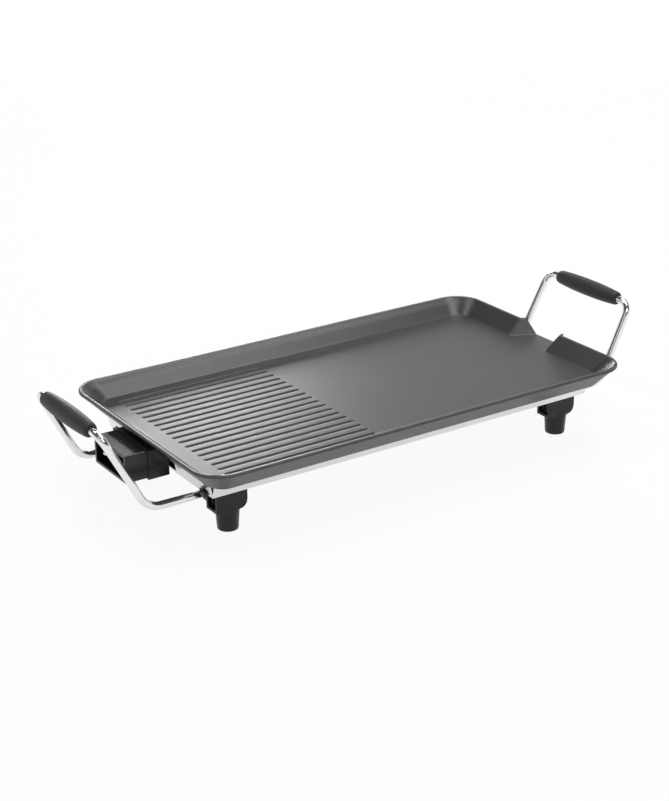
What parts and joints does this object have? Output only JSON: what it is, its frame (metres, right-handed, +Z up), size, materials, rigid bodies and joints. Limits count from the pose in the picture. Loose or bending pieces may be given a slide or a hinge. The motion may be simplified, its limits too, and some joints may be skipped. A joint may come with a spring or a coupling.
{
  "type": "electric griddle",
  "caption": "Electric table griddle: rimmed die-cast plate, part ribbed and part smooth, pouring spout, sheet base pan on moulded feet, wire handles with grips and a plug-in control socket.",
  "frame": {"origin": "on the table under the middle of the griddle, at the level of the soles of the feet", "axes": "+X along the length towards the spout, -X towards the socket, +Y to the back long side, +Z up"},
  "size_m": [0.6226, 0.27, 0.1177],
  "materials": {
    "coated_plate": "die-cast aluminium with a dark grey satin non-stick coating",
    "element_sheath": "dull heat-tinted steel sheath",
    "plain_steel": "plain zinc-plated sheet steel",
    "socket_plastic": "black glossy heat-resistant plastic",
    "contact_metal": "bright nickel-plated contact metal",
    "ceramic": "white ceramic bead",
    "pan_steel": "polished bright sheet steel",
    "foot_plastic": "black satin moulded plastic",
    "handle_wire": "bright plated steel wire",
    "grip_plastic": "dark grey satin moulded plastic"
  },
  "bodies": {
    "base": {"base_pan": "pan_steel", "foot_front_left": "foot_plastic", "foot_front_right": "foot_plastic", "foot_back_left": "foot_plastic", "foot_back_right": "foot_plastic", "handle_left": "handle_wire", "handle_right": "handle_wire", "grip_left": "grip_plastic", "grip_right": "grip_plastic"},
    "plate_unit": {"cooking_plate": "coated_plate", "heating_element": "element_sheath", "socket_bracket": "plain_steel", "socket_collar": "socket_plastic", "socket_shroud": "socket_plastic", "terminal_pins": "contact_metal", "pin_insulators": "ceramic", "probe_sleeve": "contact_metal", "earth_contact": "contact_metal"}
  },
  "joints": [
    {"name": "plate_lift", "type": "slide", "parent": "base", "child": "plate_unit", "axis": [0, 0, 1], "range_m": [0, 0.12]}
  ]
}
